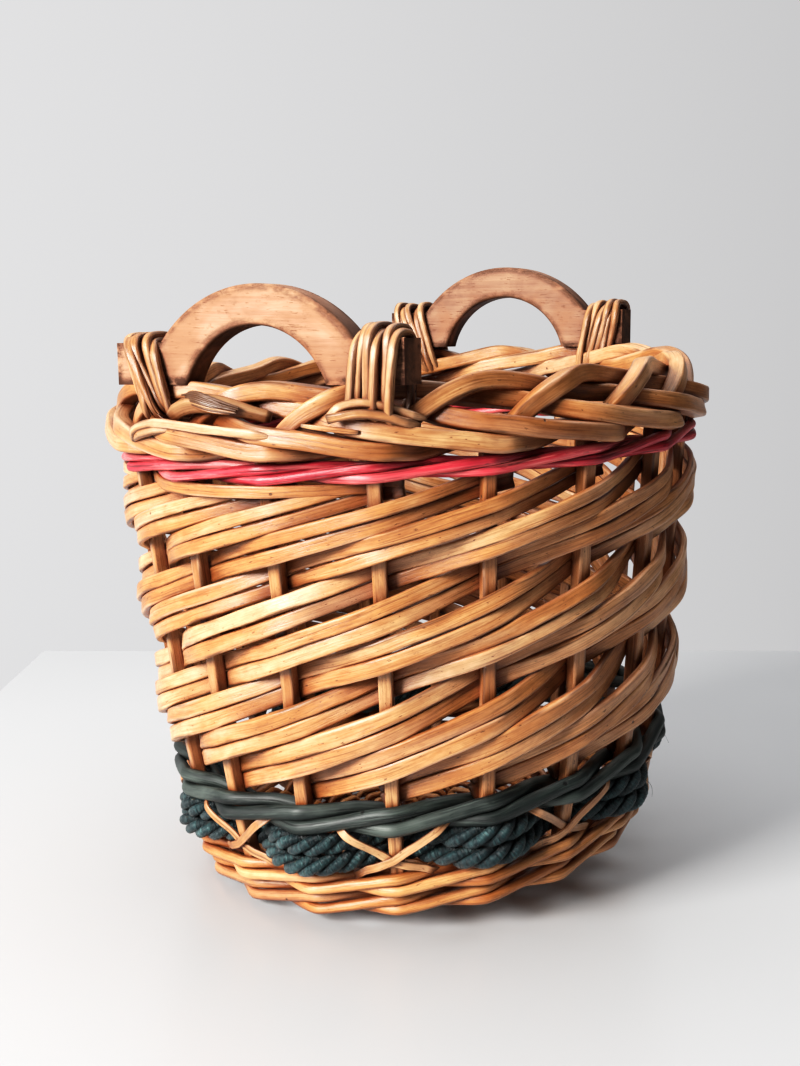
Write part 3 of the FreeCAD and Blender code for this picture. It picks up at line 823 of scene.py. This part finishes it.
def splinter(rods):
    """A small loose sliver of willow under the front handle's right lashing."""
    route = laid([(12.5, 255.6, 14), (15.5, 254.4, 14.6), (18.5, 253.2, 14.6), (21.5, 251.8, 14)])
    slim = 0.5 + 0.5 * np.sin(np.linspace(0.3, 2.6, len(route)))
    rods.add(stand(route), outward(route), squared(2.6, 1.4, 0.4)[None] * slim[:, None, None])


def rod_ends():
    rods = RodSet()
    split_end(rods)
    splinter(rods)
    rods.build("rod_ends", STAKE_WILLOW, ["stake_01"])


# --- wales ----------------------------------------------------------------------------


def chord_dip(radius, station):
    """How far a straight run from stake to stake lies inside the ring."""
    share = station % 1
    return radius * (1 - math.cos(math.radians(STEP / 2))) * 4 * share * (1 - share)


def wale(node, name, level, thick, first_stake, material):
    """Three rods, each in front of two stakes and behind the third, one stake apart."""
    reach = STAKE / 2 + thick / 2 + GAP
    drop = thick * DROP
    sideways = [(0, -reach - 0.5), (0.95, reach + 0.3), (2.05, reach + 0.3), (3, -reach - 0.5)]
    heights = [(0, 0), (0.4, -drop), (1.05, -drop), (1.95, drop), (2.6, drop), (3, 0)]
    rods = RodSet()
    for strand in range(3):
        angle = FIRST_ANGLE + (first_stake + strand) * STEP
        station = np.linspace(0.06, STAKES - 0.06, 24 * STAKES)
        height = level + bent(heights, station, 3) + wander(station, 0.35, 6)
        radius = wall_radius(level) + bent(sideways, station, 3, 0.11)
        radius = radius - chord_dip(radius, station) * 0.8 + wander(station, 0.3, 6)
        route = on_ring(radius, angle + station * STEP, height)
        centre = stand(route)
        section = natural(rounded(thick * 1.04, thick * 0.94, 12), measure(centre), 0.07, 60)
        rods.add(centre, outward(route), section)
    rods.build(name, material, [node])


# --- rope and ties --------------------------------------------------------------------

ROPE_LAY = 31.0  # rope that one twist takes
STRAND = 5.9
STRAND_TURN = {"tall": 2.95, "deep": 3.35}  # how far the strands' middles are from the rope's


def rope():
    """Two three-stranded ropes, one over the other, laid together round the stakes."""
    reach = STAKE / 2 + ROPE_DEEP / 2 + GAP
    station = np.linspace(0.06, STAKES - 0.06, 70 * STAKES)
    swing = -reach * np.cos(np.pi * station)
    angle = FIRST_ANGLE + STEP + station * STEP
    route = on_ring(wall_radius(ROPE_LEVEL) + swing, angle, ROPE_LEVEL)
    centre = stand(route)
    along = measure(centre)
    ahead = unit(np.gradient(centre, axis=0))
    out = outward(route)
    out = unit(out - ahead * (out * ahead).sum(-1, keepdims=True))
    up = np.cross(out, ahead)
    rods = RodSet()
    squeeze = 1 - 0.08 * np.cos(np.pi * station)
    for rise, start in ((1, 0.0), (-1, 1.1)):
        shift = rise * (ROPE_TALL / 4 - 0.2) + wander(along, 0.25, 90)
        middle = centre + up * (shift * squeeze)[:, None]
        for strand in range(3):
            twist = 2 * np.pi * (strand / 3 - along / ROPE_LAY)
            turn = start + twist + wander(along, 0.12, 90)
            path = middle + up * (np.cos(turn) * (STRAND_TURN["tall"] * squeeze))[:, None]
            path = path + out * (np.sin(turn) * (STRAND_TURN["deep"] * squeeze))[:, None]
            hint = up * np.cos(turn)[:, None] + out * np.sin(turn)[:, None]
            own = measure(path)
            wraps = 1 + 0.05 * np.sin(2 * np.pi * own / 2.1 + wander(own, 2.5, 30))
            thick = STRAND * (0.95 + wander(own, 0.05, 26)) * wraps
            section = rounded(1, 1, 12)[None] * thick[:, None, None]
            rods.add(path, hint, section)
    fibres(rods, centre, out, up)
    rods.build("teal_rope", ROPE, ["rope_band"])


def fibres(rods, centre, out, up, count=70, points=8):
    """Stray ends of grass that stand out of the rope."""
    for _ in range(count):
        at = RNG.integers(10, len(centre) - 40)
        start = centre[at] + out[at] * ROPE_DEEP * 0.42 + up[at] * RNG.normal(0, 5.5)
        ahead = unit(centre[at + 8] - centre[at]) * RNG.choice([-1, 1])
        way = ahead * RNG.uniform(0.4, 1) + out[at] * RNG.uniform(0.2, 0.9)
        way = unit(way + up[at] * RNG.normal(0, 0.5))
        length = RNG.uniform(4, 10)
        bend = RNG.normal(0, 0.09, 3)
        steps = np.linspace(0, 1, points)[:, None]
        path = start + way * steps * length + bend * (steps * length) ** 2
        section = rounded(0.28, 0.28, 5)[None] * np.linspace(1, 0.4, points)[:, None, None]
        rods.add(path, np.tile(out[at], (points, 1)), section, end_cut=0.1)


TIE_THIN = 1.3
TIE_WIDE = 4.4
TIE_START, TIE_END = -0.64, 0.54  # in stakes, from the stake that the tie crosses


def ties():
    """Flat canes crossed low over each stake that the rope passes behind."""
    rods = RodSet()
    for index in range(1, STAKES, 2):
        angle = FIRST_ANGLE + index * STEP
        for side, layer in ((1, 0), (-1, 1)):
            near = STAKE / 2 + TIE_THIN / 2 + GAP + layer * (TIE_THIN + 0.2)
            slack = RNG.normal(0, 1, 3)
            over = [(TIE_START, 3), (-0.44, 8.8), (-0.1, near), (0.12, near)]
            tucked = [(0.36, 2.6), (TIE_END, -1)]
            station = np.linspace(TIE_START, TIE_END, 80)
            crossing = UPPER_LEVEL + 11.5 + slack[1]
            levels = [GREEN_LEVEL - 2, crossing, UPPER_LEVEL + 6.5, UPPER_LEVEL + 1]
            height = np.interp(station, [-0.6, 0, 0.36, TIE_END], levels)
            height = height + wander(station, 0.2, 1)
            radius = wall_radius(height) + glide(over + tucked, station)
            route = on_ring(radius, angle + side * station * STEP + slack[2] * 0.5, height)
            centre = stand(route)
            section = natural(squared(TIE_WIDE, TIE_THIN, 0.35), measure(centre), 0.07, 30)
            rods.add(centre, outward(route), section, roll=wander(station, 4, 1))
    rods.build("cane_crosses", CANE, ["cane_ties"])


# --- randing --------------------------------------------------------------------------

WEAVE_START = 71.0
WEAVE_RISE = 18.3  # climb from stake to stake
SETTLED = 5  # stakes passed before the climb slows
SETTLING = 0.79  # how fast it slows
WEAVE_STEPS = 9  # stakes that a weaver passes
RUN_ON_STAKES = (10, 13, 16)  # upper rods that end here run on under the red wale
RUN_ON = 2.96
SHORT_END = 0.25


def weaver_pair(index):
    """Two flat rods, one over the other, in front of two stakes and behind the third."""
    angle = FIRST_ANGLE + index * STEP
    reach = STAKE / 2 + WEAVER_THICK / 2 + GAP
    sideways = [(0, -reach - 0.7), (0.95, reach + 0.3), (2.05, reach + 0.3), (3, -reach - 0.7)]
    rods = RodSet()
    runs_on = (index + WEAVE_STEPS) % STAKES in RUN_ON_STAKES
    for sign in (-1, 1):
        low = -0.13 + RNG.normal(0, 0.02)
        high = WEAVE_STEPS + (RUN_ON if sign > 0 and runs_on else SHORT_END)
        station = np.linspace(low, high, 220)
        share = np.clip(station / WEAVE_STEPS, 0, 1) ** 2
        side = (WEAVER_BUTT + (WEAVER_TIP - WEAVER_BUTT) * share) * RNG.uniform(0.91, 1.02)
        level = WEAVE_START + WEAVE_RISE * station
        level = level - SETTLING * np.maximum(0, station - SETTLED) ** 2
        height = level + sign * side / 2 * 1.07 + wander(station, 0.6, 4)
        dive = glide([(WEAVE_STEPS, 3.4), (WEAVE_STEPS + 0.8, 0)], station)
        under_red = np.minimum(height, RED_LEVEL - 8.4 + dive)
        height = np.where(station > WEAVE_STEPS, under_red, height)
        bow = WEAVER_BOW * np.sin(np.pi * station / 3) ** 2 + wander(station, 0.6, 4)
        radius = wall_radius(height) + bent(sideways, station, 3) + bow
        route = on_ring(radius, angle + station * STEP, height)
        centre = stand(route)
        along = measure(centre)
        shape = squared(1, WEAVER_THICK / WEAVER_BUTT, 0.13)
        section = natural(shape, along, 0.055) * side[:, None, None]
        rods.add(centre, outward(route), section, roll=wander(along, 10, 110))
    name = f"weaver_pair_{index + 1:02d}"
    rods.build("willow_" + name, WILLOW, [name])


# --- handles and lashings -------------------------------------------------------------

LASH_SQUARENESS = 0.45  # 1 gives an oval loop, 0 a rectangle
LASH_PAIR = 1.85  # from the middle of a doubled turn to the middle of each strand
LASH_LAYERS = (0, 1.5, 0)  # how far each turn stands out
LASH_SECTION = squared(4.4, 3.8, 1.2)


def smooth_loop(path, rounds=5):
    """A closed path with its corners worn down."""
    for _ in range(rounds):
        path = (np.roll(path, 1, axis=0) + 2 * path + np.roll(path, -1, axis=0)) / 4
    return path


def towards_square(wave):
    """A wave from -1 to 1 that stays near its ends for longer."""
    return np.sign(wave) * np.abs(wave) ** LASH_SQUARENESS


def lashing(node, arch, turns):
    """Doubled turns of cane round a handle's tongue and the border's top.

    turns gives the place of each doubled turn along the tongue and how far it leans.
    Each arches by about arch over the tongue.
    """
    low, high = (np.array(corner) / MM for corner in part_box(node))
    middle = (low + high) / 2
    half = (high - low) / 2 - LASH_ROD / 2
    outer = -1 if middle[1] < 0 else 1
    rods = RodSet()
    t = np.linspace(0, 2 * np.pi, 121)[:-1]
    wide = towards_square(np.cos(t))
    tall = towards_square(np.sin(t))
    for layer, (place, lean) in zip(LASH_LAYERS, turns):
        start = RNG.uniform(-0.5, 0.5)
        swirl = RNG.choice([-1, 1])
        rise = arch * RNG.uniform(0.8, 1.2)
        drift = wander(t, 0.5, 2 * np.pi)
        twist = start + 0.9 * swirl * np.sin(t + 0.6)
        for strand in (-1, 1):
            aside = strand * LASH_PAIR * np.cos(twist)
            proud = strand * LASH_PAIR * np.sin(twist)
            up = tall * (half[2] - 1.3) + np.where(tall > 0, rise * (1 - wide**2), 0)
            x = place - outer * lean * tall / 2 + aside + drift
            depth = wide * (half[1] + proud + layer + 0.6)
            path = smooth_loop(middle + np.stack([x, depth, up + proud * tall], -1))
            path = np.concatenate([path, path[:2]])
            hint = (path - middle) * (0, 1, 1)
            along = measure(path)
            roll = wander(along, 18, 90)
            section = natural(LASH_SECTION, along, 0.08, 35)
            rods.add(path, hint, section, end_cut=0.05, roll=roll)
    rods.build("cane_" + node, CANE, [node])


def handle(side):
    """The CAD plank keeps its shape and gets sawn wood."""
    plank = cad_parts[f"handle_{side}"]
    plank.data.materials.clear()
    plank.data.materials.append(PLANKS[side])


# --- assembly -------------------------------------------------------------------------

base_sticks()
base_weave()
for index in range(STAKES):
    stake(index)
wale("foot_wale_lower", "foot_rods_lower", FOOT_LEVEL, FOOT_ROD, 0, BASE_WILLOW)
wale("foot_wale_upper", "foot_rods_upper", UPPER_LEVEL, FOOT_ROD, 1, BASE_WILLOW)
rope()
ties()
wale("green_wale", "green_rods", GREEN_LEVEL, GREEN_ROD, 0, GREEN)
for index in range(STAKES):
    weaver_pair(index)
wale("red_wale", "red_rods", RED_LEVEL, RED_ROD, 0, RED)
handle("front")
handle("back")
lashing("lashing_front_left", 1.0, ((-1.0, -11), (4.6, -19), (11.6, -13)))
lashing("lashing_front_right", 2.8, ((-7.6, 4), (0.6, 1), (8.8, 3)))
lashing("lashing_back_left", 2.6, ((-7.0, -9), (0.4, -11), (7.6, -7)))
lashing("lashing_back_right", 3.0, ((-3.0, 15), (4.0, 19), (11.0, 13)))
tucked_canes()
rod_ends()


# --- floor, light and camera ----------------------------------------------------------

VIEW_AZIMUTH = 29.0  # from the front handle's face
VIEW_DISTANCE = 780.0
VIEW_HEIGHT = 313.6
VIEW_SIDE = -13.4
LENS = 45.2  # on a 36 mm wide sensor
PITCH = 8.93  # degrees down

# The table's edges, from the basket's middle, as the camera sees them
TABLE_LEFT = -358
TABLE_FAR = -481
TABLE_RIGHT = 1600
TABLE_NEAR = 1400


def view_point(right, near, height):
    """A place given from the camera's heading: to its right, nearer to it, and up."""
    turn = math.radians(VIEW_AZIMUTH)
    x = right * math.cos(turn) + near * math.sin(turn)
    y = right * math.sin(turn) - near * math.cos(turn)
    return Vector((x, y, height)) * MM


def floor():
    corners = (
        (TABLE_LEFT, TABLE_FAR),
        (TABLE_RIGHT, TABLE_FAR),
        (TABLE_RIGHT, TABLE_NEAR),
        (TABLE_LEFT, TABLE_NEAR),
    )
    mesh = bpy.data.meshes.new("floor")
    mesh.from_pydata([view_point(right, near, 0) for right, near in corners], [], [(0, 1, 2, 3)])
    s = Shader("pale_floor")
    mesh.materials.append(s.finish((0.55, 0.56, 0.572, 1), 0.30))
    plane = bpy.data.objects.new("floor", mesh)
    bpy.context.scene.collection.objects.link(plane)


def lamp(name, place, target, size, power, colour=(1, 1, 1)):
    """A square lamp that faces the target; size in metres, power in watts."""
    light = bpy.data.lights.new(name, "AREA")
    light.energy = power
    light.size = size
    light.color = colour
    made = bpy.data.objects.new(name, light)
    made.location = place
    made.rotation_euler = (target - place).to_track_quat("-Z", "Y").to_euler()
    bpy.context.scene.collection.objects.link(made)


def camera():
    data = bpy.data.cameras.new("camera")
    data.sensor_width = 36
    data.lens = LENS
    data.clip_start = 0.01
    made = bpy.data.objects.new("camera", data)
    made.location = view_point(VIEW_SIDE, VIEW_DISTANCE, VIEW_HEIGHT)
    made.rotation_euler = (math.radians(90 - PITCH), 0, math.radians(VIEW_AZIMUTH))
    bpy.context.scene.collection.objects.link(made)
    bpy.context.scene.camera = made


def screen_tones():
    """Plain tones with a gentle S curve."""
    view = bpy.context.scene.view_settings
    view.view_transform = "Standard"
    view.use_curve_mapping = True
    tones = view.curve_mapping.curves[3]  # the one for all channels together
    for place, value in ((0.06, 0.037), (0.2, 0.168), (0.55, 0.60)):
        tones.points.new(place, value)
    view.curve_mapping.update()


def surroundings():
    """A pale room that is brighter on the window's side, behind and to the left."""
    world = bpy.data.worlds.new("studio")
    world.use_nodes = True
    tree = world.node_tree
    sky = tree.nodes["Background"]
    place = tree.nodes.new("ShaderNodeTexCoord")
    towards = tree.nodes.new("ShaderNodeVectorMath")
    towards.operation = "DOT_PRODUCT"
    towards.inputs[1].default_value = view_point(-0.8, -0.6, 0) / MM
    tree.links.new(place.outputs["Generated"], towards.inputs[0])
    share = tree.nodes.new("ShaderNodeMapRange")
    share.inputs["From Min"].default_value = -1
    tree.links.new(towards.outputs["Value"], share.inputs["Value"])
    ramp = tree.nodes.new("ShaderNodeValToRGB")
    strengths = {0: 0.02, 0.3: 0.03, 0.45: 0.10, 0.57: 0.36, 0.67: 0.55, 0.9: 0.725, 1: 0.765}
    while len(ramp.color_ramp.elements) < len(strengths):
        ramp.color_ramp.elements.new(0.5)
    for element, (at, strength) in zip(ramp.color_ramp.elements, strengths.items()):
        element.position = at
        element.color = (strength, strength, strength, 1)
    tree.links.new(share.outputs[0], ramp.inputs[0])
    tree.links.new(ramp.outputs[0], sky.inputs["Strength"])
    sky.inputs["Color"].default_value = (0.988, 0.985, 0.995, 1)
    bpy.context.scene.world = world


screen_tones()
floor()
surroundings()
basket_middle = view_point(0, 0, 150)
key_place = view_point(-1750, 1500, 1050)
lamp("key", key_place, basket_middle, size=1.0, power=133, colour=(1, 0.975, 0.94))
lamp("overhead", view_point(250, -150, 1700), basket_middle, size=1.8, power=19)
camera()
